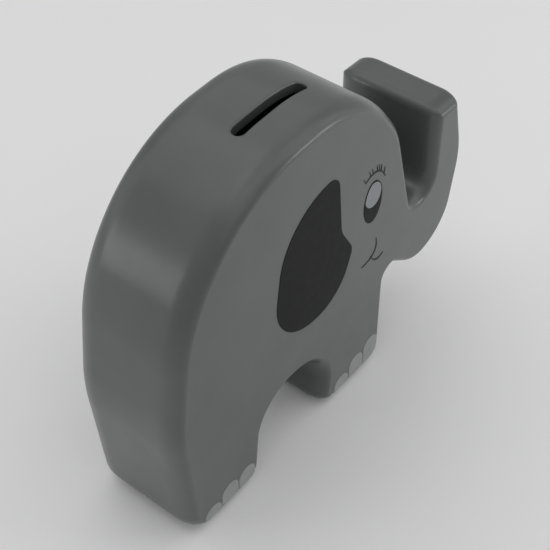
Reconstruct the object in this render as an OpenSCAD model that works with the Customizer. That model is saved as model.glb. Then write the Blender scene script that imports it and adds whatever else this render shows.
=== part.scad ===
// Elephant-shaped coin bank: a slip-cast slab body with a raised trunk, a belly stopper,
// four foot pads and the printed transfers on both flanks.
// The elephant faces +X, its left flank faces +Y, and +Z is up. The origin is on the surface
// that it stands on, under the middle of its box.

/* [Body] */
// Thickness from flank to flank
thickness = 45; // [36:1:60]
// How far the rounding of the long edges reaches onto the flank
edge_r = 4.5; // [3:0.5:7]
// How far the rounding of the long edges reaches across the rim
edge_depth = 8.5; // [4:0.5:10]
// Wall thickness of the casting
wall = 4; // [3:0.5:5]
// Height of the back above the soles
back_height = 145; // [120:1:175]
// Height of the point where the rump is furthest back
rump_height = 59; // [48:1:70]
// How far the rump stands behind the heel
rump_bulge = 5; // [2:0.5:10]

/* [Legs] */
// Length from the hind heel to the front toe
stance = 115; // [105:1:140]
// Length of the hind foot
hind_foot = 38; // [35:1:46]
// Length of the front foot
front_foot = 40; // [32:1:46]
// Height of the arch between the legs
arch_height = 35.5; // [32:0.5:42]
// How far the sides of the arch lean forwards
arch_lean = 3.5; // [0:0.5:6]
// Height of the chin above the soles
chin_height = 48; // [44:1:54]

/* [Trunk] */
// Distance that the trunk reaches in front of the leg
trunk_reach = 49; // [42:1:58]
// Height of the lowest point of the trunk
trunk_low = 34; // [28:1:40]
// Height of the trunk's tip
trunk_top = 105.5; // [98:0.5:125]
// Width of the trunk's tip
tip_width = 16; // [14:0.5:20]
// Height of the floor of the gap behind the trunk
gap_floor = 69.5; // [64:0.5:78]
// Width of the gap at its floor
gap_width = 11; // [9:0.5:15]
// How far the forehead leans back from the gap's floor to its brow
brow_lean = 12; // [8:0.5:16]

/* [Coin slot] */
// Length of the slot
slot_length = 35; // [28:0.5:38]
// Width of the slot
slot_width = 4.8; // [4.1:0.1:6]
// Distance of the slot's middle in front of the hind heel
slot_x = 68.5; // [55:0.5:80]
// How far the slot lies to the right of the middle of the rim
slot_side = 3; // [0:0.5:5]

/* [Stopper] */
// Radius of the hole in the belly
hole_r = 14; // [11.5:0.5:15]
// Gap around the stopper's barrel
hole_clearance = 0.1; // [0.05:0.05:0.3]
// Depth of the flat seat above the crown of the arch
seat_depth = 2.5; // [1.5:0.5:4]
// Width of the flange outside the hole
flange_lip = 2.2; // [1.5:0.1:2.5]
// Thickness of the flange
flange_t = 1.6; // [1:0.2:2.5]
// Height of the barrel above the flange
barrel_height = 8.5; // [6:0.5:12]
// Thickness of the barrel's wall
barrel_wall = 1.8; // [1.2:0.1:3]
// Number of sealing ribs round the barrel
rib_count = 3; // [2:1:4]
// Width of the pull tab
tab_width = 13; // [8:1:18]
// Height of the pull tab below the flange
tab_height = 6.5; // [4:0.5:9]
// Thickness of the pull tab
tab_t = 2.4; // [1.5:0.1:4]

/* [Foot pads] */
// Radius of a pad
pad_r = 4.5; // [3:0.5:5.5]
// Thickness of a pad
pad_t = 1; // [0.5:0.1:2]
// Distance of each pad's middle from the middle plane
pad_y = 9; // [7:0.5:12]

/* [Prints] */
// Thickness of a printed transfer
print_t = 0.15; // [0.1:0.05:0.3]
// Gap between a transfer and the glaze, filled by its adhesive
print_gap = 0.02; // [0:0.01:0.05]
// Height of the ear
ear_height = 61; // [52:1:64]
// Width of the ear at its widest
ear_width = 42; // [34:1:46]
// Height of the eye
eye_height = 19; // [14:0.5:22]
// Width of the eye
eye_width = 10.8; // [8:0.1:13]
// Radius of the round top of a toenail
nail_r = 4.6; // [3.5:0.1:5]
// Distance between the middles of neighbouring toenails
nail_pitch = 9.5; // [8:0.1:11]
// Width of the drawn lines at their middle
line_width = 0.6; // [0.4:0.05:1]

/* [Hidden] */

grey = [0.36, 0.37, 0.37];
ink = [0.13, 0.13, 0.13];
nail_grey = [0.56, 0.57, 0.57];
highlight = [0.60, 0.62, 0.65];
rubber = [0.15, 0.15, 0.16];
felt = [0.24, 0.24, 0.25];

chord_gap = 0.035; // how far the facets of a rounded corner may lie inside its true arc
edge_steps = 6;   // segments across a long edge
least_r = 0.4;    // the tightest corner that an inset outline keeps
round_fn = 96;

// The outline, clockwise from the hind heel as seen from the right flank. Each corner is
// [x, z, radius of its rounding], with x measured from the heel and z from the soles.
front_x = stance;
trunk_x = stance + trunk_reach;
hind_toe_x = hind_foot;
front_heel_x = stance - front_foot;
arch_top = arch_height + 0.5;
arch_width = front_heel_x - hind_toe_x;
gap_front_x = trunk_x - tip_width - 7;
gap_rear_x = gap_front_x - gap_width;
outline = [
    [0, 0, 11],
    [-rump_bulge, rump_height, 87],
    [1.5, back_height - 37.5, 68],
    [33, back_height - 1, 62],
    [95, back_height + 0.5, 51],
    [gap_rear_x - brow_lean, back_height - 31, 40],
    [gap_rear_x, gap_floor + 1, 4],
    [gap_front_x, gap_floor - 0.5, 6.5],
    [gap_front_x, trunk_top, 3.5],
    [gap_front_x + tip_width, trunk_top - 0.5, 4.5],
    [trunk_x, trunk_top - 29, 43],
    [trunk_x - 6.5, trunk_low + 3, 23],
    [front_x + 19, trunk_low, 16],
    [front_x, chin_height, 3],
    [front_x, 0, 8.5],
    [front_heel_x, 0, 6],
    [front_heel_x + arch_lean, arch_top - 1.5, min(19, arch_width * 0.52)],
    [hind_toe_x + arch_lean, arch_top + 1, min(16, arch_width * 0.44)],
    [hind_toe_x, 0, 8.5]
];

function flat(p) = [p[0], p[1]];
function unit(v) = v / norm(v);
function at(c, i) = c[(i + len(c)) % len(c)];
function ahead(c, i) = unit(flat(at(c, i + 1)) - flat(at(c, i)));
function outward(c, i) = let (d = ahead(c, i)) [-d[1], d[0]];
function turned(v, a) = [v[0] * cos(a) - v[1] * sin(a), v[0] * sin(a) + v[1] * cos(a)];
function turn(c, i) =
    let (a = ahead(c, i - 1), b = ahead(c, i))
    atan2(a[0] * b[1] - a[1] * b[0], a[0] * b[0] + a[1] * b[1]);

// Corner i moved inwards by d from both of its sides, with its rounding changed to suit.
function inset_corner(c, i, d) =
    let (
        m = outward(c, i - 1) + outward(c, i),
        p = flat(at(c, i)) - m * (2 * d / (m * m)),
        r = turn(c, i) < 0 ? max(at(c, i)[2] - d, least_r) : at(c, i)[2] + d
    )
    [p[0], p[1], r];
function inset_outline(c, d) = [for (i = [0 : len(c) - 1]) inset_corner(c, i, d)];

// The middle of the arc that rounds corner i.
function corner_centre(c, i) =
    let (a = turn(c, i), r = at(c, i)[2])
    flat(at(c, i)) - ahead(c, i - 1) * (r * tan(abs(a) / 2)) + outward(c, i - 1) * (sign(a) * r);

// The points round corner i, from its first tangent point to its last.
function corner_points(c, i, steps) =
    let (
        a = turn(c, i),
        centre = corner_centre(c, i),
        spoke = outward(c, i - 1) * (-sign(a) * at(c, i)[2])
    )
    [for (k = [0 : steps]) centre + turned(spoke, a * k / steps)];
function corner_steps(i) =
    max(3, ceil(abs(turn(outline, i)) / (2 * acos(1 - chord_gap / outline[i][2]))));

// The outline inset by d, always with the same number of points.
function outline_points(d) =
    let (c = inset_outline(outline, d))
    [for (i = [0 : len(c) - 1]) each corner_points(c, i, corner_steps(i))];

points = outline_points(0);
x_mid = (min([for (p = points) p[0]]) + max([for (p = points) p[0]])) / 2;
half = thickness / 2;

// A closed solid through rings of points, each ring given as [inset, y].
module ring_solid(rings) {
    n = len(points);
    last = len(rings) - 1;
    ring_points = [for (q = rings) each [for (p = outline_points(q[0])) [p[0], q[1], p[1]]]];
    sides = [
        for (k = [0 : last - 1], i = [0 : n - 1])
        [k * n + i, (k + 1) * n + i, (k + 1) * n + (i + 1) % n, k * n + (i + 1) % n]
    ];
    first_cap = [for (i = [0 : n - 1]) i];
    last_cap = [for (i = [n - 1 : -1 : 0]) last * n + i];
    polyhedron(ring_points, concat([first_cap, last_cap], sides), convexity = 10);
}

function edge_ring(r, depth, d, y, side, a) = [
    d + r * (1 - cos(a)), y + side * depth * (1 - sin(a))
];

// The rings of a slab from -y to y whose long edges are rounded by r and depth, inset by d.
function slab_rings(y, r, depth, d, steps) = concat(
    [for (k = [steps : -1 : 0]) edge_ring(r, depth, d, -y, 1, 90 * k / steps)],
    [for (k = [0 : steps]) edge_ring(r, depth, d, y, -1, 90 * k / steps)]
);

module place() {
    translate([-x_mid, 0, pad_t]) children();
}

module flank(side) {
    if (side > 0) children();
    else mirror([0, 1, 0]) children();
}

// ---- body ----
arch_mid = (hind_toe_x + front_heel_x + arch_lean) / 2;
seat_z = arch_height + seat_depth;
flange_r = hole_r + flange_lip;
pocket_r = flange_r + 0.6;
cavity_edge_r = 2.5;

module cavity() {
    difference() {
        ring_solid(slab_rings(half - wall, cavity_edge_r, cavity_edge_r, wall, 2));
        // the casting's wall follows the stopper's seat
        translate([arch_mid, 0, 0]) cylinder(r = pocket_r + wall, h = seat_z + wall, $fn = round_fn);
    }
}

module coin_slot() {
    reach = slot_length / 2 - slot_width / 2;
    translate([slot_x, -slot_side, back_height - wall * 3]) {
        for (s = [-1, 1]) translate([s * reach, 0, 0]) cylinder(d = slot_width, h = wall * 5, $fn = 48);
        translate([-reach, -slot_width / 2, 0]) cube([2 * reach, slot_width, wall * 5]);
    }
}

module body() color(grey) place() difference() {
    ring_solid(slab_rings(half, edge_r, edge_depth, 0, edge_steps));
    cavity();
    coin_slot();
    translate([arch_mid, 0, arch_height / 3])
        cylinder(r = pocket_r, h = seat_z - arch_height / 3, $fn = round_fn);
    translate([arch_mid, 0, seat_z - 1]) cylinder(r = hole_r, h = wall + 2, $fn = round_fn);
}

// ---- stopper ----
barrel_r = hole_r - hole_clearance;
groove_depth = 0.6;
rib_pitch = barrel_height / (rib_count + 0.5);
stopper_profile = concat(
    [[0, -flange_t], [flange_r - 0.5, -flange_t], [flange_r, -flange_t + 0.5], [flange_r, -0.1],
     [barrel_r, -0.1]],
    [for (k = [0 : rib_count - 1]) each [
        [barrel_r, (k + 0.45) * rib_pitch],
        [barrel_r - groove_depth, (k + 0.55) * rib_pitch],
        [barrel_r - groove_depth, (k + 0.95) * rib_pitch],
        [barrel_r, (k + 1.05) * rib_pitch]
    ]],
    [[barrel_r, barrel_height - 1], [barrel_r - 0.8, barrel_height],
     [barrel_r - barrel_wall - 0.4, barrel_height], [barrel_r - barrel_wall - 0.4, 0.4], [0, 0.4]]
);

module stopper() color(rubber) place() translate([arch_mid, 0, seat_z]) {
    rotate_extrude($fn = round_fn) polygon(stopper_profile);
    // the tab ends in a round bead that the fingers grip
    translate([-tab_t / 2, -tab_width / 2, -flange_t - tab_height + tab_t * 0.6])
        cube([tab_t, tab_width, tab_height - tab_t * 0.6 + 0.1]);
    translate([0, tab_width / 2, -flange_t - tab_height + tab_t * 0.6])
        rotate([90, 0, 0]) cylinder(r = tab_t * 0.6, h = tab_width, $fn = 32);
}

// ---- foot pads ----
hind_pad_x = hind_foot / 2 + 1;
front_pad_x = stance - front_foot / 2;

module foot_pad(x, side) color(felt)
    translate([x - x_mid, -side * pad_y, 0]) cylinder(r = pad_r, h = pad_t, $fn = 48);

// ---- prints ----
// An upright flat shape drawn in x and z becomes a thin transfer on the right flank.
module transfer(tone, side) color(tone) place() flank(side)
    translate([0, -half - print_gap, 0]) rotate([90, 0, 0]) linear_extrude(print_t) children();

// A brush line along a path, thickest at its middle.
function bend(a, b, c) = [
    for (k = [0 : 10]) let (t = k / 10) (1 - t) * (1 - t) * a + 2 * t * (1 - t) * b + t * t * c
];
function brush_side(path, i, w) =
    let (n = len(path) - 1, d = unit(path[min(i + 1, n)] - path[max(i - 1, 0)]))
    path[i] + [-d[1], d[0]] * (w / 2 * (0.35 + 0.65 * sin(180 * i / n)));
module brush(path, w)
    polygon(concat(
        [for (i = [0 : len(path) - 1]) brush_side(path, i, w)],
        [for (i = [len(path) - 1 : -1 : 0]) brush_side(path, i, -w)]
    ));

// The ear: an oval whose front edge is hollowed above the lobe. Its corners are given in
// shares of half its width and half its height from its middle.
ear_x = gap_rear_x - 61.5;
ear_z = back_height - 56.5;
ear_shape = [
    [-1.16, -1.03, 21.8], [-0.79, 0.9, 27.7], [0.56, 0.98, 5.5],
    [0.69, 0.05, 13], [1.04, -0.36, 6], [0.7, -0.98, 18.4]
];
ear_corners = [
    for (p = ear_shape) [ear_x + p[0] * ear_width / 2, ear_z + p[1] * ear_height / 2, p[2]]
];
module ear_print(side) transfer(ink, side)
    polygon([for (i = [0 : 5]) each corner_points(ear_corners, i, 14)]);

eye_x = gap_rear_x - 28.5;
eye_z = back_height - 54;
module eye_oval(w, h) scale([w / h, 1]) circle(d = h, $fn = 64);
module eye_glint() translate([-0.2, 3.4]) rotate(14) eye_oval(9.4, 11.2);
module eye_print(side) transfer(ink, side) translate([eye_x, eye_z]) difference() {
    eye_oval(eye_width, eye_height);
    intersection() {
        eye_glint();
        eye_oval(eye_width - 0.7, eye_height - 0.7);
    }
}
module eye_highlight(side) transfer(highlight, side) translate([eye_x, eye_z]) intersection() {
    offset(delta = -print_gap) eye_glint();
    offset(delta = -print_gap) eye_oval(eye_width - 0.7, eye_height - 0.7);
}

// The lid line above the eye, with lashes that stand up from it.
lid = bend([eye_x - 5.3, eye_z + 12.1], [eye_x + 2.5, eye_z + 16.4], [eye_x + 6.7, eye_z + 7.6]);
lash_roots = [0, 2, 3, 5, 6, 7, 9];
lash_length = 2.9;
module lash(root, a) {
    tip = root + lash_length * [cos(a), sin(a)];
    side_step = line_width * 0.26 * [sin(a), -cos(a)];
    polygon([root - side_step, root + side_step, tip + side_step * 0.4, tip - side_step * 0.4]);
}
module eyelash_print(side) transfer(ink, side) union() {
    brush(lid, line_width * 1.2);
    for (k = [0 : len(lash_roots) - 1]) lash(lid[lash_roots[k]], 118 - 6 * k);
}

// The smile: a cheek line that runs down past the corner of the mouth, and the lip line.
smile_x = gap_rear_x - 27.2;
smile_z = chin_height + 15;
cheek = bend([smile_x + 2.4, smile_z + 8], [smile_x + 5, smile_z - 1.5], [smile_x - 6, smile_z - 1.2]);
lip = bend([smile_x - 0.5, smile_z + 0.6], [smile_x + 2.9, smile_z - 6.2], [smile_x + 7.8, smile_z - 3.2]);
module smile_print(side) transfer(ink, side) union() {
    brush(cheek, line_width);
    brush(lip, line_width * 1.15);
}

// ---- toenails ----
// A nail has a round top, and its straight sides run down round the long edge to near the
// sole. It lies just off the glaze, so it also follows the rounding of the toe, and it thins
// out to a soft rim.
nail_columns = 10;
nail_edge_rows = 7; // rows of places that follow the long edge
nail_rows = nail_edge_rows + 3;
nail_gap = print_gap + 0.03;
nail_rim = 0.15; // thickness left at a nail's edge, as a share
nail_from = 35; // how far round the long edge a nail starts, in degrees from the rim
nail_low = edge_r * (1 - cos(nail_from));
hind_toe = 18;   // number of the toe's corner in the outline
front_toe = 14;

// How far a place on the flank lies inside the outline near corner i.
function inside(i, p) =
    let (
        v = p - corner_centre(outline, i),
        a = ahead(outline, i - 1),
        b = ahead(outline, i),
        w = p - flat(at(outline, i))
    )
    v * a > 0 && v * b < 0
        ? at(outline, i)[2] - norm(v)
        : min(-(w * outward(outline, i - 1)), -(w * outward(outline, i)));

// The glaze at that place, moved outwards by d.
function on_glaze(i, p, d) =
    let (
        e = 0.02,
        s = inside_foot(i, p),
        a = s >= edge_r ? 90 : acos(1 - s / edge_r),
        g = [inside_foot(i, p + [e, 0]) - s, inside_foot(i, p + [0, e]) - s],
        n = norm(g) > 0 && a < 90 ? g / norm(g) : [0, 0],
        q = unit([cos(a) / edge_r, sin(a) / edge_depth]) * d
    )
    [p[0] - n[0] * q[0], -half + edge_depth * (1 - sin(a)) - q[1], p[1] - n[1] * q[0]];

// The same for a foot whose toe is corner i and whose heel is the next corner.
function inside_foot(i, p) = min(inside(i, p), inside(i + 1, p));

// The lowest place of a nail at x, beside the toe or beside the heel.
function sole_rise(i, x) =
    let (c = corner_centre(outline, i), r = at(outline, i)[2] - nail_low, e = x - c[0])
    e * (at(outline, i)[0] - c[0]) > 0 ? c[1] - sqrt(r * r - e * e) : nail_low;
function nail_foot(i, x) = max(sole_rise(i, x), sole_rise(i + 1, x));

// The height of row j of a nail between low and top: close rows round the long edge.
function nail_row(j, low, top) =
    let (
        a = nail_from + (90 - nail_from) * j / nail_edge_rows,
        reach = edge_r - nail_low,
        squeeze = min(1, 0.75 * (top - low) / reach),
        edge_top = low + reach * squeeze
    )
    j <= nail_edge_rows
        ? low + (edge_r * (1 - cos(a)) - nail_low) * squeeze
        : edge_top + (top - edge_top) * (j - nail_edge_rows) / (nail_rows - nail_edge_rows);

// Places all over a nail, raised by d within it and by d_rim along its edge.
function nail_grid(i, c, d, d_rim) = [
    for (k = [0 : nail_columns])
    let (
        a = 84 * (2 * k / nail_columns - 1),
        x = c[0] + nail_r * sin(a),
        top = c[1] + nail_r * cos(a),
        low = nail_foot(i, x)
    )
    for (j = [0 : nail_rows])
    let (
        on_rim = k == 0 || k == nail_columns || j == 0 || j == nail_rows
    )
    on_glaze(i, [x, nail_row(j, low, top)], on_rim ? d_rim : d)
];
module nail(i, c) {
    w = nail_rows + 1;
    n = (nail_columns + 1) * w;
    quads = [
        for (k = [0 : nail_columns - 1], j = [0 : nail_rows - 1])
        let (q = k * w + j) [q, q + w, q + w + 1, q + 1]
    ];
    rim = concat(
        [for (k = [0 : nail_columns - 1]) k * w],
        [for (j = [0 : nail_rows - 1]) nail_columns * w + j],
        [for (k = [nail_columns : -1 : 1]) k * w + nail_rows],
        [for (j = [nail_rows : -1 : 1]) j]
    );
    walls = [
        for (j = [0 : len(rim) - 1])
        let (a = rim[j], b = rim[(j + 1) % len(rim)]) [a, a + n, b + n, b]
    ];
    polyhedron(
        concat(
            nail_grid(i, c, nail_gap, nail_gap),
            nail_grid(i, c, nail_gap + print_t, nail_gap + print_t * nail_rim)
        ),
        concat(quads, [for (q = quads) [q[3] + n, q[2] + n, q[1] + n, q[0] + n]], walls)
    );
}
// Three nails; the first is the one nearest to the toe, and the last is the lowest.
module toenails(i, toe_x, tops, side) color(nail_grey) place() flank(side)
    for (k = [0 : 2]) nail(i, [toe_x - 3.9 - nail_r - k * nail_pitch, tops[k] - nail_r]);
hind_tops = [12.6, 12.9, 9.5];
front_tops = [16.0, 13.6, 9.9];

body();
stopper();
foot_pad(hind_pad_x, 1);  // foot_pad_hind_right
foot_pad(hind_pad_x, -1);  // foot_pad_hind_left
foot_pad(front_pad_x, 1);  // foot_pad_front_right
foot_pad(front_pad_x, -1);  // foot_pad_front_left
ear_print(1);  // ear_print_right
eye_print(1);  // eye_print_right
eye_highlight(1);  // eye_highlight_right
eyelash_print(1);  // eyelash_print_right
smile_print(1);  // smile_print_right
toenails(hind_toe, hind_toe_x, hind_tops, 1);  // hind_toenails_right
toenails(front_toe, front_x, front_tops, 1);  // front_toenails_right
ear_print(-1);  // ear_print_left
eye_print(-1);  // eye_print_left
eye_highlight(-1);  // eye_highlight_left
eyelash_print(-1);  // eyelash_print_left
smile_print(-1);  // smile_print_left
toenails(hind_toe, hind_toe_x, hind_tops, -1);  // hind_toenails_left
toenails(front_toe, front_x, front_tops, -1);  // front_toenails_left
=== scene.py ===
"""Looks of the elephant coin bank: glaze, fired prints, rubber stopper, felt pads, studio."""

import math

import bmesh
import bpy
import numpy as np
from mathutils import Matrix, Vector


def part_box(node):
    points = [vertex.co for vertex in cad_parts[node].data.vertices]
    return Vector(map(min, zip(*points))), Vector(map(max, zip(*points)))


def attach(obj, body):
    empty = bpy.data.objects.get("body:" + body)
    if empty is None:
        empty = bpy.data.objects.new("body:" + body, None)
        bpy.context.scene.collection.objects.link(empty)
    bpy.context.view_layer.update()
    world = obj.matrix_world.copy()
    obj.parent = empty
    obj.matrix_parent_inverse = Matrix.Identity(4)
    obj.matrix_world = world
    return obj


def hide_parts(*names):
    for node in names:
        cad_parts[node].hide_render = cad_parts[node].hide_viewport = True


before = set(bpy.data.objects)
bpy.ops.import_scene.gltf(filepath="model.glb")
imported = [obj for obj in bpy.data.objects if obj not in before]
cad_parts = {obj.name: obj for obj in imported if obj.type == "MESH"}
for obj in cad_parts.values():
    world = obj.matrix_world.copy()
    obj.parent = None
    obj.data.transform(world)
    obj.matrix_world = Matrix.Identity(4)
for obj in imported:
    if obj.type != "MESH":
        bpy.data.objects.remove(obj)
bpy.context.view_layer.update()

MM = 0.001

# ---- sizes, in millimetres, as in the CAD part ----
THICKNESS = 45.0
EDGE_R, EDGE_DEPTH = 4.5, 8.5
WALL = 4.0
CAVITY_EDGE_R = 2.5
PAD_T = 1.0
SLOT_LENGTH, SLOT_WIDTH = 35.0, 4.8
SLOT_X, SLOT_Y = 68.5, -3.0
LIP_R = 0.9
ARCH_HEIGHT = 35.5
SEAT_Z = 38.0
HOLE_R = 14.0
POCKET_R = 16.8
HALF = THICKNESS / 2
HIND_TOE_X, FRONT_HEEL_X = 38, 75
ARCH_LEAN = 3.5
ARCH_MID = (HIND_TOE_X + FRONT_HEEL_X + ARCH_LEAN) / 2

# The outline clockwise from the hind heel, as [x, z, radius of the rounding].
OUTLINE = [
    (0, 0, 11), (-5, 59, 87), (1.5, 107.5, 68), (33, 144, 62), (95, 145.5, 51), (118, 114, 40),
    (130, 70.5, 4), (141, 69, 6.5), (141, 105.5, 3.5), (157, 105, 4.5), (164, 76.5, 43),
    (157.5, 37, 23), (134, 34, 16), (115, 48, 3), (115, 0, 8.5), (FRONT_HEEL_X, 0, 6),
    (FRONT_HEEL_X + ARCH_LEAN, 34.5, 19), (HIND_TOE_X + ARCH_LEAN, 37, 16), (HIND_TOE_X, 0, 8.5),
]
LEAST_RADIUS = 0.4  # where an inset would close a corner's rounding


# ---- outline ----
def unit(v):
    return v / np.linalg.norm(v)


def cross(a, b):
    return a[0] * b[1] - a[1] * b[0]


def edge_counts(spacing):
    """How many steps each corner's arc and each straight after it takes."""
    counts = []
    places = np.array(OUTLINE, float)
    total = len(places)
    ahead = [unit(places[(i + 1) % total, :2] - places[i, :2]) for i in range(total)]
    turns = [
        math.atan2(cross(ahead[i - 1], ahead[i]), ahead[i - 1] @ ahead[i]) for i in range(total)
    ]
    reach = [places[i, 2] * math.tan(abs(turns[i]) / 2) for i in range(total)]
    for i in range(total):
        arc = abs(turns[i]) * (places[i, 2] + (EDGE_R if turns[i] > 0 else 0))
        side = np.linalg.norm(places[(i + 1) % total, :2] - places[i, :2])
        straight = side - reach[i] - reach[(i + 1) % total]
        arc_steps = max(6, math.ceil(arc / spacing))
        straight_steps = max(1, math.ceil(straight / (2 * spacing)))
        counts.append((arc_steps, straight_steps))
    return counts


def outline(inset, counts):
    """Points of the outline moved inwards by inset, always as many for the same counts."""
    places = np.array(OUTLINE, float)
    total = len(places)
    ahead = [unit(places[(i + 1) % total, :2] - places[i, :2]) for i in range(total)]
    out = [np.array([-d[1], d[0]]) for d in ahead]
    arcs = []
    for i in range(total):
        turn = math.atan2(cross(ahead[i - 1], ahead[i]), ahead[i - 1] @ ahead[i])
        mid = out[i - 1] + out[i]
        corner = places[i, :2] - mid * (2 * inset / (mid @ mid))
        radius = max(places[i, 2] - inset, LEAST_RADIUS) if turn < 0 else places[i, 2] + inset
        start = corner - ahead[i - 1] * radius * math.tan(abs(turn) / 2)
        centre = start + out[i - 1] * math.copysign(radius, turn)
        angles = np.linspace(0, turn, counts[i][0] + 1)
        spoke = start - centre
        arcs.append(
            centre
            + np.stack(
                [
                    spoke[0] * np.cos(angles) - spoke[1] * np.sin(angles),
                    spoke[0] * np.sin(angles) + spoke[1] * np.cos(angles),
                ],
                axis=1,
            )
        )
    points = []
    for i in range(total):
        points.extend(arcs[i])
        first, last = arcs[i][-1], arcs[(i + 1) % total][0]
        steps = counts[i][1]
        points.extend(first + (last - first) * k / steps for k in range(1, steps))
    return np.array(points)


FINE = edge_counts(0.9)
COARSE = edge_counts(2.4)
EDGE = outline(0, FINE)
X_MID = (EDGE[:, 0].min() + EDGE[:, 0].max()) / 2


def to_row(points):
    """Millimetres from the heel to metres in the row frame."""
    return [((x - X_MID) * MM, y * MM, (z + PAD_T) * MM) for x, y, z in points]


def mesh_object(name, points, faces, smooth=True):
    mesh = bpy.data.meshes.new(name)
    mesh.from_pydata([tuple(p) for p in points], [], faces)
    mesh.validate()
    obj = bpy.data.objects.new(name, mesh)
    bpy.context.scene.collection.objects.link(obj)
    if smooth:
        mesh.polygons.foreach_set("use_smooth", [True] * len(mesh.polygons))
    return obj


def shade_smooth(mesh, crease):
    """Shades mesh smoothly, except at edges that turn by more than crease degrees."""
    mesh.polygons.foreach_set("use_smooth", [True] * len(mesh.polygons))
    mesh.set_sharp_from_angle(angle=math.radians(crease))


def closed_loft(rings, skip=()):
    """Faces of a closed solid through equal rings, without the quads in skip."""
    count = len(rings[0])
    faces = [list(range(count)), [len(rings) * count - 1 - i for i in range(count)]]
    for k in range(len(rings) - 1):
        for i in range(count):
            if (k, i) not in skip:
                j = (i + 1) % count
                low, high = k * count, (k + 1) * count
                faces.append([low + i, high + i, high + j, low + j])
    return faces


def rounded_slab(half, edge, depth, inset, steps, rim_ys, counts):
    """Rings [inset, y] of a slab with rounded long edges, as lists of (x, y, z)."""
    pairs = []
    for k in range(steps + 1):
        a = math.pi / 2 * (steps - k) / steps
        pairs.append((inset + edge * (1 - math.cos(a)), -half + depth * (1 - math.sin(a))))
    pairs += [(inset, y) for y in rim_ys]
    for k in range(steps + 1):
        a = math.pi / 2 * k / steps
        pairs.append((inset + edge * (1 - math.cos(a)), half - depth * (1 - math.sin(a))))
    rings = []
    for moved, y in pairs:
        rings.append([(x, y, z) for x, z in outline(moved, counts)])
    return rings


# ---- body ----
EDGE_STEPS = 12
PATCH_MARGIN = 2.4
RIM_YS = [-13, -10, -7.6, -5.8, -4.4, -3, -1.6, -0.2, 1.6, 5, 9, 12.5]
PATCH_YS = (-7.6, 1.6)
BACK_LOW_Z = 120  # everything of the outline above this is the back
SURROUND = 6  # outline points kept on either side of the slot, for heights
LIP_STEPS = 7
CUTTER_SIDES = 128
BODY_CREASE, STOPPER_CREASE, PAD_CREASE = 38, 45, 50


def back_height_at(x, top):
    return float(np.interp(x, top[:, 0], top[:, 1]))


def slot_offset(x, y, away):
    """The place that lies away from the slot's centre line in the direction of (x, y)."""
    reach = SLOT_LENGTH / 2 - SLOT_WIDTH / 2
    nearest = min(max(x - SLOT_X, -reach), reach) + SLOT_X
    direction = unit(np.array([x - nearest, y - SLOT_Y]))
    return nearest + direction[0] * away, SLOT_Y + direction[1] * away


def outer_with_slot():
    """The outside of the body, with a soft-lipped pit where the coin slot is."""
    rings = rounded_slab(HALF, EDGE_R, EDGE_DEPTH, 0, EDGE_STEPS, RIM_YS, FINE)
    count = len(rings[0])
    over = [i for i in range(count) if abs(EDGE[i, 0] - SLOT_X) < SLOT_LENGTH / 2 + PATCH_MARGIN]
    over = [i for i in over if EDGE[i, 1] > BACK_LOW_Z]
    first, last = min(over), max(over)
    top = EDGE[first - SURROUND : last + SURROUND + 1]
    low_ring = EDGE_STEPS + 1 + RIM_YS.index(PATCH_YS[0])
    high_ring = EDGE_STEPS + 1 + RIM_YS.index(PATCH_YS[1])
    skip = {(k, i) for k in range(low_ring, high_ring) for i in range(first, last)}
    points = [p for ring in rings for p in ring]
    faces = closed_loft(rings, skip)
    border = [low_ring * count + i for i in range(first, last)]
    border += [k * count + last for k in range(low_ring, high_ring)]
    border += [high_ring * count + i for i in range(last, first, -1)]
    border += [k * count + first for k in range(high_ring, low_ring, -1)]

    loops = []
    for blend in (0.4, 0.75):
        loop = []
        for b in border:
            x, y = points[b][0], points[b][1]
            sx, sy = slot_offset(x, y, SLOT_WIDTH / 2 + LIP_R)
            px, py = x + (sx - x) * blend, y + (sy - y) * blend
            loop.append((px, py, back_height_at(px, top)))
        loops.append(loop)
    for k in range(LIP_STEPS + 1):
        a = math.pi / 2 * k / LIP_STEPS
        loop = []
        for b in border:
            away = SLOT_WIDTH / 2 + LIP_R * (1 - math.sin(a))
            px, py = slot_offset(points[b][0], points[b][1], away)
            loop.append((px, py, back_height_at(px, top) - LIP_R * (1 - math.cos(a))))
        loops.append(loop)
    for depth in (2.5, WALL * 1.9):
        loop = []
        for b in border:
            px, py = slot_offset(points[b][0], points[b][1], SLOT_WIDTH / 2)
            loop.append((px, py, back_height_at(px, top) - depth))
        loops.append(loop)

    previous = border
    for loop in loops:
        ids = list(range(len(points), len(points) + len(loop)))
        points.extend(loop)
        for i in range(len(ids)):
            j = (i + 1) % len(ids)
            faces.append([previous[i], ids[i], ids[j], previous[j]])
        previous = ids
    faces.append(previous)
    return mesh_object("bank_body", to_row(points), faces)


def cylinder_cutter(name, radius, low, high):
    """A closed upright cylinder about the stopper's axis."""
    turns = [2 * math.pi * i / CUTTER_SIDES for i in range(CUTTER_SIDES)]
    circle = [(ARCH_MID + radius * math.cos(t), -radius * math.sin(t)) for t in turns]
    rings = [[(x, y, z) for x, y in circle] for z in (low, high)]
    cutter = mesh_object(name, to_row([p for ring in rings for p in ring]), closed_loft(rings))
    outward(cutter)
    return cutter


def cut(obj, cutter):
    """Takes cutter out of obj and removes cutter."""
    modifier = obj.modifiers.new("cut", "BOOLEAN")
    modifier.operation = "DIFFERENCE"
    modifier.solver = "EXACT"
    modifier.object = cutter
    apply_modifiers(obj)
    bpy.data.objects.remove(cutter)


def apply_modifiers(obj):
    graph = bpy.context.evaluated_depsgraph_get()
    mesh = bpy.data.meshes.new_from_object(obj.evaluated_get(graph))
    obj.modifiers.clear()
    obj.data = mesh


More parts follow.
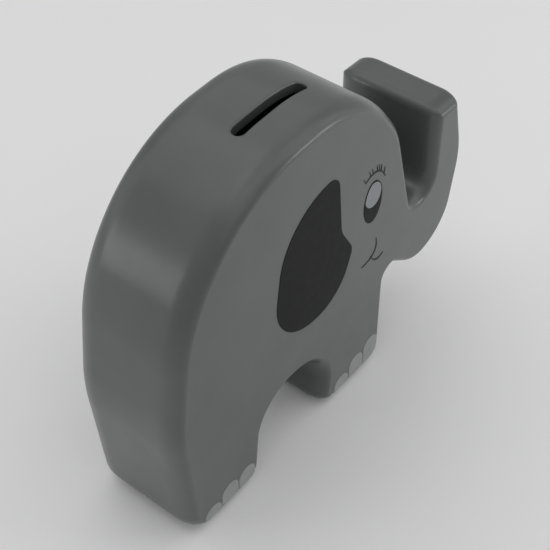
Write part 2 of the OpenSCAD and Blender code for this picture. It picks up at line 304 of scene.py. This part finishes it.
def outward(obj):
    """Turns every face of a closed mesh to the outside."""
    work = bmesh.new()
    work.from_mesh(obj.data)
    bmesh.ops.recalc_face_normals(work, faces=work.faces)
    work.to_mesh(obj.data)
    work.free()


def make_body():
    body = outer_with_slot()
    outward(body)
    hollow_rings = rounded_slab(HALF - WALL, CAVITY_EDGE_R, CAVITY_EDGE_R, WALL, 4, [], COARSE)
    hollow = mesh_object(
        "hollow",
        to_row([p for ring in hollow_rings for p in ring]),
        closed_loft(hollow_rings),
    )
    outward(hollow)
    cut(hollow, cylinder_cutter("boss", POCKET_R + WALL, 0, SEAT_Z + WALL))
    cut(body, hollow)
    cut(body, cylinder_cutter("pocket", POCKET_R, ARCH_HEIGHT / 3, SEAT_Z))
    cut(body, cylinder_cutter("hole", HOLE_R, SEAT_Z - 1, SEAT_Z + WALL + 1))
    shade_smooth(body.data, BODY_CREASE)
    flat_flanks = body.modifiers.new("flat_flanks", "WEIGHTED_NORMAL")
    flat_flanks.keep_sharp = True
    return body


body = make_body()
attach(body, "bank")
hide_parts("body")


# ---- stopper ----
BARREL_R = HOLE_R - 0.1
FLANGE_R, FLANGE_T = 16.2, 1.6
BARREL_HEIGHT = 8.5
RIBS = 3
TAB_WIDTH, TAB_HEIGHT, TAB_T = 13.0, 6.5, 2.4


def rounded_path(corners, steps=5):
    """Points along a path of (r, z, rounding), with each inner corner rounded off."""
    points = [np.array(corners[0][:2], float)]
    for before, (r, z, rounding), after in zip(corners, corners[1:], corners[2:]):
        here = np.array([r, z], float)
        a = unit(np.array(before[:2]) - here)
        b = unit(np.array(after[:2]) - here)
        start, end = here + a * rounding, here + b * rounding
        for t in np.linspace(0, 1, steps):
            points.append((1 - t) ** 2 * start + 2 * t * (1 - t) * here + t * t * end)
    points.append(np.array(corners[-1][:2], float))
    return points


def stopper_path():
    """The stopper's section from the middle of its flange up round to the middle of its cup."""
    corners = [
        (0.01, -FLANGE_T, 0),
        (TAB_WIDTH / 2 + 2.5, -FLANGE_T, 0.8),
        (TAB_WIDTH / 2 + 3.1, -FLANGE_T + 0.4, 0.3),
    ]
    corners += [(FLANGE_R - 2.6, -FLANGE_T + 0.4, 0.3), (FLANGE_R - 2, -FLANGE_T, 0.3)]
    corners += [(FLANGE_R, -FLANGE_T, 0.6), (FLANGE_R, -0.1, 0.5), (BARREL_R, -0.1, 0.1)]
    pitch = BARREL_HEIGHT / (RIBS + 0.5)
    for k in range(RIBS):
        corners += [
            (BARREL_R, (k + 0.45) * pitch, 0.25),
            (BARREL_R - 0.6, (k + 0.55) * pitch, 0.2),
            (BARREL_R - 0.6, (k + 0.95) * pitch, 0.2),
            (BARREL_R, (k + 1.05) * pitch, 0.25),
        ]
    inner = BARREL_R - 2.2
    corners += [(BARREL_R, BARREL_HEIGHT - 1, 0.3), (BARREL_R - 0.8, BARREL_HEIGHT, 0.3)]
    corners += [(inner, BARREL_HEIGHT, 0.4), (inner, 0.4, 0.6), (0.01, 0.4, 0)]
    return rounded_path(corners)


def make_stopper():
    """The moulded stopper: a ribbed cup on a flange, with a pull tab that ends in a bead."""
    path = stopper_path()
    count = 96
    points = []
    for r, z in path:
        for i in range(count):
            t = 2 * math.pi * i / count
            points.append((ARCH_MID + r * math.cos(t), -r * math.sin(t), SEAT_Z + z))
    rings = [range(k * count, (k + 1) * count) for k in range(len(path))]
    obj = mesh_object("stopper_rubber", to_row(points), closed_loft(rings))
    outward(obj)

    work = bmesh.new()
    work.from_mesh(obj.data)
    bottom = -FLANGE_T - TAB_HEIGHT
    profile = rounded_path(
        [
            (TAB_T * 0.5 + 0.9, -FLANGE_T + 0.2, 0), (TAB_T * 0.5, -FLANGE_T, 0.6),
            (TAB_T * 0.5, bottom + TAB_T, 0.5), (TAB_T * 0.66, bottom + TAB_T * 0.6, 0.5),
            (TAB_T * 0.5, bottom, 0.7), (0, bottom, 0),
        ]
    )
    section = [(x, z) for x, z in profile] + [(-x, z) for x, z in profile[-2::-1]]
    slices = 14
    rows = []
    for k in range(slices + 1):
        share = -1 + 2 * k / slices
        taper = max(0.0, 1 - abs(share) ** 8) ** 0.5 * 0.9 + 0.1
        y = share * TAB_WIDTH / 2
        places = to_row([(ARCH_MID + x * taper, y, SEAT_Z + z) for x, z in section])
        rows.append([work.verts.new(place) for place in places])
    for k in range(slices):
        for i in range(len(section) - 1):
            work.faces.new([rows[k][i], rows[k][i + 1], rows[k + 1][i + 1], rows[k + 1][i]])
        work.faces.new([rows[k][-1], rows[k][0], rows[k + 1][0], rows[k + 1][-1]])
    work.faces.new(rows[0])
    work.faces.new(rows[-1][::-1])
    bmesh.ops.recalc_face_normals(work, faces=work.faces)
    work.to_mesh(obj.data)
    work.free()
    shade_smooth(obj.data, STOPPER_CREASE)
    return obj


stopper = make_stopper()
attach(stopper, "stopper")
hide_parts("stopper")


# ---- foot pads ----
def make_pad(node):
    """A felt disc with a soft rim in the place of a CAD pad."""
    low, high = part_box(node)
    centre, radius, height = (low + high) / 2, (high.x - low.x) / 2, high.z - low.z
    work = bmesh.new()
    bmesh.ops.create_cone(
        work, cap_ends=True, segments=64, radius1=radius, radius2=radius, depth=height,
        matrix=Matrix.Translation(centre),
    )
    rims = [e for e in work.edges if abs(e.verts[0].co.z - e.verts[1].co.z) < height / 2]
    bmesh.ops.bevel(work, geom=rims, offset=height * 0.3, segments=3, affect="EDGES", profile=0.6)
    mesh = bpy.data.meshes.new(node + "_felt")
    work.to_mesh(mesh)
    work.free()
    pad = bpy.data.objects.new(node + "_felt", mesh)
    bpy.context.scene.collection.objects.link(pad)
    shade_smooth(mesh, PAD_CREASE)
    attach(pad, "bank")
    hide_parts(node)
    return pad


pads = [make_pad(node) for node in sorted(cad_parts) if node.startswith("foot_pad")]


# ---- materials ----
def new_material(name, roughness, specular=0.5):
    material = bpy.data.materials.new(name)
    material.use_nodes = True
    shader = material.node_tree.nodes["Principled BSDF"]
    shader.inputs["Roughness"].default_value = roughness
    shader.inputs["Specular IOR Level"].default_value = specular
    return material, material.node_tree, shader


def noise(tree, scale, detail=3.0, roughness=0.5, vector=None):
    """Noise in object space; scale is in features per metre."""
    node = tree.nodes.new("ShaderNodeTexNoise")
    node.inputs["Scale"].default_value = scale
    node.inputs["Detail"].default_value = detail
    node.inputs["Roughness"].default_value = roughness
    if vector is None:
        vector = tree.nodes.new("ShaderNodeTexCoord").outputs["Object"]
    tree.links.new(vector, node.inputs["Vector"])
    return node.outputs["Fac"]


def ramp(tree, source, stops):
    """A colour ramp of (position, colour)."""
    node = tree.nodes.new("ShaderNodeValToRGB")
    while len(node.color_ramp.elements) < len(stops):
        node.color_ramp.elements.new(0.5)
    for element, (position, colour) in zip(node.color_ramp.elements, stops):
        element.position = position
        element.color = (*colour, 1)
    tree.links.new(source, node.inputs["Fac"])
    return node.outputs["Color"]


def spread(tree, source, low, high):
    """source, from 0 to 1, mapped to low to high."""
    node = tree.nodes.new("ShaderNodeMapRange")
    node.inputs["To Min"].default_value = low
    node.inputs["To Max"].default_value = high
    tree.links.new(source, node.inputs["Value"])
    return node.outputs["Result"]


def bump(tree, shader, layers):
    """Stacks bump layers of (height source, strength, distance in metres)."""
    normal = None
    for source, strength, distance in layers:
        node = tree.nodes.new("ShaderNodeBump")
        node.inputs["Strength"].default_value = strength
        node.inputs["Distance"].default_value = distance
        tree.links.new(source, node.inputs["Height"])
        if normal is not None:
            tree.links.new(normal, node.inputs["Normal"])
        normal = node.outputs["Normal"]
    tree.links.new(normal, shader.inputs["Normal"])


def glaze_material():
    material, tree, shader = new_material("satin_grey_glaze", 0.36)
    tone = ramp(
        tree,
        noise(tree, 38, 5, 0.55),
        [(0.3, (0.076, 0.081, 0.081)), (0.5, (0.083, 0.088, 0.088)), (0.72, (0.091, 0.096, 0.095))],
    )
    tree.links.new(tone, shader.inputs["Base Color"])
    tree.links.new(spread(tree, noise(tree, 90, 4), 0.30, 0.44), shader.inputs["Roughness"])
    shader.inputs["Coat Weight"].default_value = 0.35
    shader.inputs["Coat Roughness"].default_value = 0.20
    bump(
        tree,
        shader,
        [(noise(tree, 26, 2), 0.25, 0.0006), (noise(tree, 420, 3, 0.6), 0.10, 0.00008)],
    )
    return material


def print_material(name, dark, light, roughness):
    """Fired colour: nearly even, a little grained, with little shine of its own."""
    material, tree, shader = new_material(name, roughness, 0.08)
    tone = ramp(tree, noise(tree, 240, 5, 0.6), [(0.3, dark), (0.7, light)])
    tree.links.new(tone, shader.inputs["Base Color"])
    sheen = spread(tree, noise(tree, 300, 3), roughness - 0.05, roughness + 0.07)
    tree.links.new(sheen, shader.inputs["Roughness"])
    bump(tree, shader, [(noise(tree, 26, 2), 0.25, 0.0006), (noise(tree, 900, 2), 0.12, 0.00004)])
    return material


def rubber_material():
    material, tree, shader = new_material("black_rubber", 0.62, 0.35)
    dark, light = (0.016, 0.016, 0.018), (0.03, 0.03, 0.032)
    tone = ramp(tree, noise(tree, 160, 4), [(0.3, dark), (0.7, light)])
    tree.links.new(tone, shader.inputs["Base Color"])
    tree.links.new(spread(tree, noise(tree, 500, 3), 0.52, 0.72), shader.inputs["Roughness"])
    bump(tree, shader, [(noise(tree, 1500, 3, 0.6), 0.25, 0.00006)])
    return material


def felt_material():
    material, tree, shader = new_material("grey_felt", 0.95, 0.1)
    coords = tree.nodes.new("ShaderNodeTexCoord")
    stretch = tree.nodes.new("ShaderNodeMapping")
    stretch.inputs["Scale"].default_value = (1.0, 0.35, 1.0)
    stretch.inputs["Rotation"].default_value = (0, 0, 0.6)
    tree.links.new(coords.outputs["Object"], stretch.inputs["Vector"])
    fibres = noise(tree, 2600, 4, 0.7, stretch.outputs["Vector"])
    tone = ramp(tree, fibres, [(0.3, (0.03, 0.03, 0.032)), (0.7, (0.075, 0.075, 0.08))])
    tree.links.new(tone, shader.inputs["Base Color"])
    shader.inputs["Sheen Weight"].default_value = 0.4
    bump(tree, shader, [(fibres, 0.6, 0.0002)])
    return material


def dress(obj, material):
    obj.data.materials.clear()
    obj.data.materials.append(material)


dress(body, glaze_material())
dress(stopper, rubber_material())
felt = felt_material()
for pad in pads:
    dress(pad, felt)

PRINTS = {
    "ear_print": print_material(
        "fired_black", (0.0088, 0.0092, 0.0092), (0.0112, 0.0116, 0.0116), 0.42
    ),
    "eye_highlight": print_material(
        "fired_pale_grey", (0.262, 0.276, 0.287), (0.292, 0.306, 0.317), 0.40
    ),
    "toenails": print_material(
        "fired_nail_grey", (0.295, 0.305, 0.300), (0.335, 0.345, 0.340), 0.42
    ),
    "line": print_material(
        "fired_line_grey", (0.034, 0.036, 0.036), (0.042, 0.044, 0.044), 0.42
    ),
}
PRINTS["eye_print"] = PRINTS["ear_print"]
PRINTS["smile_print"] = PRINTS["eyelash_print"] = PRINTS["line"]
for node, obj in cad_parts.items():
    for key, material in PRINTS.items():
        if key in node:
            dress(obj, material)


# ---- studio ----
FLOOR_REACH = 4.0


def make_floor():
    reach = FLOOR_REACH
    floor = mesh_object(
        "studio_floor",
        [(-reach, -reach, 0), (reach, -reach, 0), (reach, reach, 0), (-reach, reach, 0)],
        [(0, 1, 2, 3)],
        smooth=False,
    )
    material, tree, shader = new_material("pale_floor", 0.7, 0.2)
    tone = ramp(tree, noise(tree, 6, 3), [(0.3, (0.90, 0.90, 0.90)), (0.7, (0.92, 0.92, 0.92))])
    tree.links.new(tone, shader.inputs["Base Color"])
    dress(floor, material)


def compass(azimuth, elevation):
    """The direction of a place seen from the object; azimuth 0 is -Y and 90 is +X."""
    a, e = math.radians(azimuth), math.radians(elevation)
    return Vector((math.sin(a) * math.cos(e), -math.cos(a) * math.cos(e), math.sin(e)))


def softbox(name, azimuth, elevation, distance, width, height, power):
    light = bpy.data.lights.new(name, "AREA")
    light.shape = "RECTANGLE"
    light.size, light.size_y, light.energy = width, height, power
    obj = bpy.data.objects.new(name, light)
    back = compass(azimuth, elevation)
    obj.location = Vector((0, 0, 0.07)) + back * distance
    obj.rotation_euler = back.to_track_quat("Z", "Y").to_euler()
    bpy.context.scene.collection.objects.link(obj)


def make_lights():
    softbox("rear_left", -150, 24, 1.1, 0.7, 0.7, 0.65)
    softbox("rump_glint", -124, 13, 1.1, 0.35, 0.35, 0.9)
    softbox("low_right", 38, 8, 1.1, 0.35, 0.3, 1.3)
    softbox("far_right", 60, 20, 1.1, 0.7, 0.7, 0.65)
    softbox("front_right", 50, 48, 1.2, 0.8, 0.8, 1.35)
    softbox("front_left", 128, 50, 1.2, 0.8, 0.8, 0.8)
    softbox("overhead", -60, 86, 1.2, 0.9, 0.9, 1.3)
    softbox("overhead_left", -170, 62, 1.2, 0.9, 0.9, 1.55)
    softbox("overhead_right", -20, 60, 1.2, 0.9, 0.9, 0.8)
    world = bpy.data.worlds.new("studio")
    world.use_nodes = True
    world.node_tree.nodes["Background"].inputs["Color"].default_value = (1, 1, 1, 1)
    world.node_tree.nodes["Background"].inputs["Strength"].default_value = 0.41
    bpy.context.scene.world = world
    bpy.context.scene.view_settings.view_transform = "Standard"


CAMERA_AZIMUTH, CAMERA_ELEVATION, CAMERA_ROLL = -51.34, 45.38, -0.24
CAMERA_PLACE = Vector((-0.2559, -0.2009, 0.3887))
CAMERA_LENS = 82.6


def make_camera():
    data = bpy.data.cameras.new("camera")
    data.lens, data.sensor_width = CAMERA_LENS, 36.0
    data.clip_start, data.clip_end = 0.01, 20
    camera = bpy.data.objects.new("camera", data)
    bpy.context.scene.collection.objects.link(camera)
    back = compass(CAMERA_AZIMUTH, CAMERA_ELEVATION)
    a, roll = math.radians(CAMERA_AZIMUTH), math.radians(CAMERA_ROLL)
    level = Vector((math.cos(a), math.sin(a), 0))
    upright = back.cross(level)
    right = level * math.cos(roll) + upright * math.sin(roll)
    up = upright * math.cos(roll) - level * math.sin(roll)
    turn = Matrix((right, up, back)).transposed()
    camera.matrix_world = Matrix.Translation(CAMERA_PLACE) @ turn.to_4x4()
    bpy.context.scene.camera = camera


make_floor()
make_lights()
make_camera()
